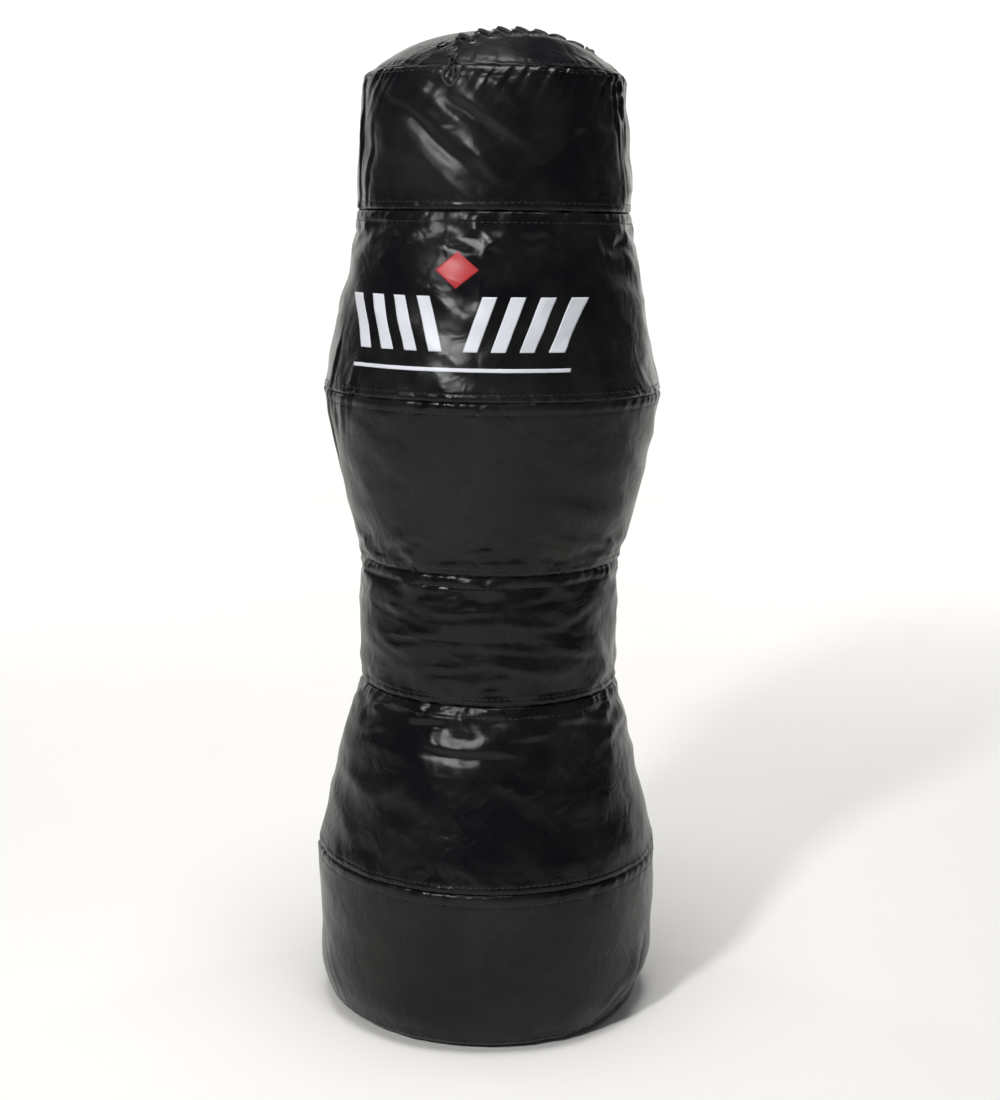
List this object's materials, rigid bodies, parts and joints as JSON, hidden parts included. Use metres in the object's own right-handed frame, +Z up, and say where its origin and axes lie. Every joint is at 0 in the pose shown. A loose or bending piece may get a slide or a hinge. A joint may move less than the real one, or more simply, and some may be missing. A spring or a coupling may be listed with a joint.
{
  "type": "heavy punching bag",
  "caption": "Waisted heavy punching bag that stands on its base: a sewn shell of coated cloth bands round a firm textile filling, with a laced filling slit in its domed crown.",
  "frame": {"origin": "centre of the underside of the base disc, on the floor", "axes": "+Z up along the bag's axis, -Y towards the printed front, +X to the viewer's right seen from the front"},
  "size_m": [0.3521, 0.352, 0.9871],
  "materials": {
    "coated_cloth": "satin",
    "webbing": "matte",
    "thread": "satin",
    "black_metal": "gloss",
    "lace_cord": "satin",
    "textile_filling": "matte",
    "white_print": "satin",
    "red_print": "satin"
  },
  "bodies": {
    "lower": {"base_disc": "coated_cloth", "base_binding": "webbing", "base_panel": "coated_cloth", "hip_panel": "coated_cloth", "hip_seam_tape": "webbing", "lower_waist_seam_tape": "webbing", "base_seam_stitching": "thread", "hip_seam_stitching": "thread", "lower_waist_seam_stitching": "thread", "lower_back_tapes": "webbing", "lower_back_stitching": "thread", "lower_filling": "textile_filling"},
    "waist": {"waist_panel": "coated_cloth", "waist_back_tape": "webbing", "waist_back_stitching": "thread", "waist_filling": "textile_filling"},
    "upper": {"chest_panel": "coated_cloth", "shoulder_panel": "coated_cloth", "neck_panel": "coated_cloth", "crown_main_panel": "coated_cloth", "crown_front_panel": "coated_cloth", "upper_waist_seam_tape": "webbing", "chest_seam_tape": "webbing", "neck_seam_tape": "webbing", "rim_seam_tape": "webbing", "upper_waist_seam_stitching": "thread", "chest_seam_stitching": "thread", "neck_seam_stitching": "thread", "rim_seam_stitching": "thread", "upper_back_tapes": "webbing", "upper_back_stitching": "thread", "main_eyelet_strip": "webbing", "front_eyelet_strip": "webbing", "main_eyelets": "black_metal", "front_eyelets": "black_metal", "main_eyelet_washers": "black_metal", "front_eyelet_washers": "black_metal", "main_hem_stitching": "thread", "front_hem_stitching": "thread", "tongue_flap": "coated_cloth", "print_bars": "white_print", "print_line": "white_print", "print_diamond": "red_print", "lace": "lace_cord", "lace_stop_knot": "lace_cord", "lace_tie_knot": "lace_cord", "upper_filling": "textile_filling"},
    "bow": {"lace_bow": "lace_cord"}
  },
  "joints": [
    {"name": "waist_nod", "type": "hinge", "parent": "lower", "child": "waist", "pos_m": [0, 0, 0.404], "axis": [1, 0, 0], "range_deg": [-6, 6], "stiffness_Nm_per_rad": 400, "deforming": ["waist_panel", "waist_back_tape", "waist_back_stitching"]},
    {"name": "waist_sway", "type": "hinge", "parent": "waist", "child": "upper", "pos_m": [0, 0, 0.404], "axis": [0, 1, 0], "range_deg": [-6, 6], "stiffness_Nm_per_rad": 400},
    {"name": "bow_swing", "type": "hinge", "parent": "upper", "child": "bow", "pos_m": [-0.03955, -0.12173, 0.948], "axis": [-0.9511, 0.309, 0], "range_deg": [0, 60]}
  ]
}
